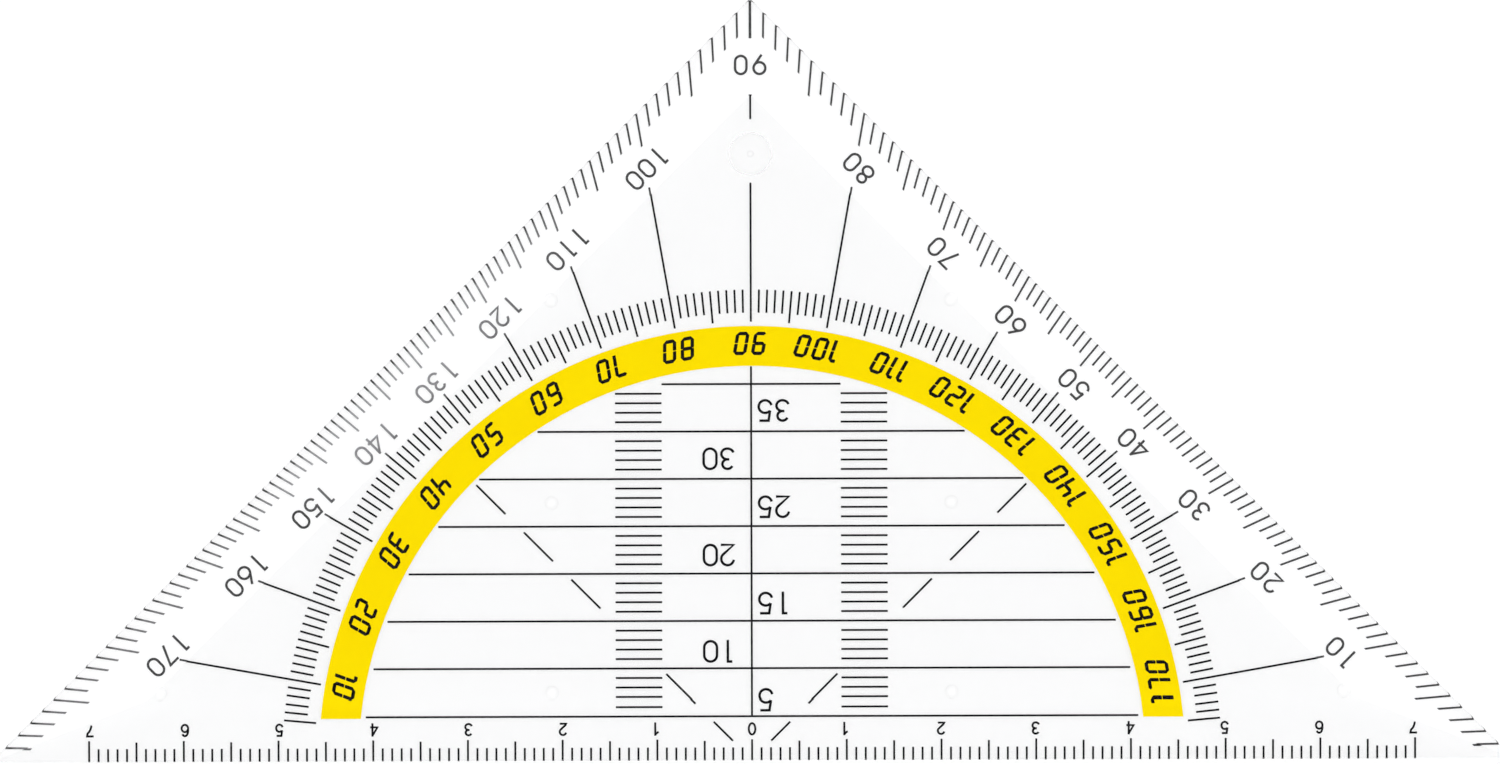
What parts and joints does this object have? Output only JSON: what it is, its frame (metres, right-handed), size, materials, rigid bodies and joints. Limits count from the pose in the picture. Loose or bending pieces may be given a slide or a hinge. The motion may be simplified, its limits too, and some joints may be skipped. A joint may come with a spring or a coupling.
{
  "type": "protractor set square",
  "caption": "Clear right-angled isosceles set square with sloping margins, a ruler scale on its long edge, degree scales on its legs and arc, and parallel lines.",
  "frame": {"origin": "the middle of the ruling edge at its foot, in the plane of the underside that carries the print; the scales' zero point is 0.1 mm above it along +Y", "axes": "+X along the ruling edge to the right tip, +Y to the apex, +Z out of the reading side"},
  "size_m": [0.16, 0.0803, 0.0023],
  "materials": {
    "clear_plastic": "polished clear moulding",
    "black_ink": "printed film",
    "yellow_ink": "printed film"
  },
  "bodies": {
    "root": {"plate": "clear_plastic", "arc_band": "yellow_ink", "ruler_ticks": "black_ink", "left_leg_degree_ticks": "black_ink", "right_leg_degree_ticks": "black_ink", "arc_degree_ticks": "black_ink", "degree_rays": "black_ink", "parallel_lines": "black_ink", "centre_line": "black_ink", "left_millimetre_hatch": "black_ink", "right_millimetre_hatch": "black_ink", "left_diagonal_dashes": "black_ink", "right_diagonal_dashes": "black_ink"}
  },
  "joints": []
}
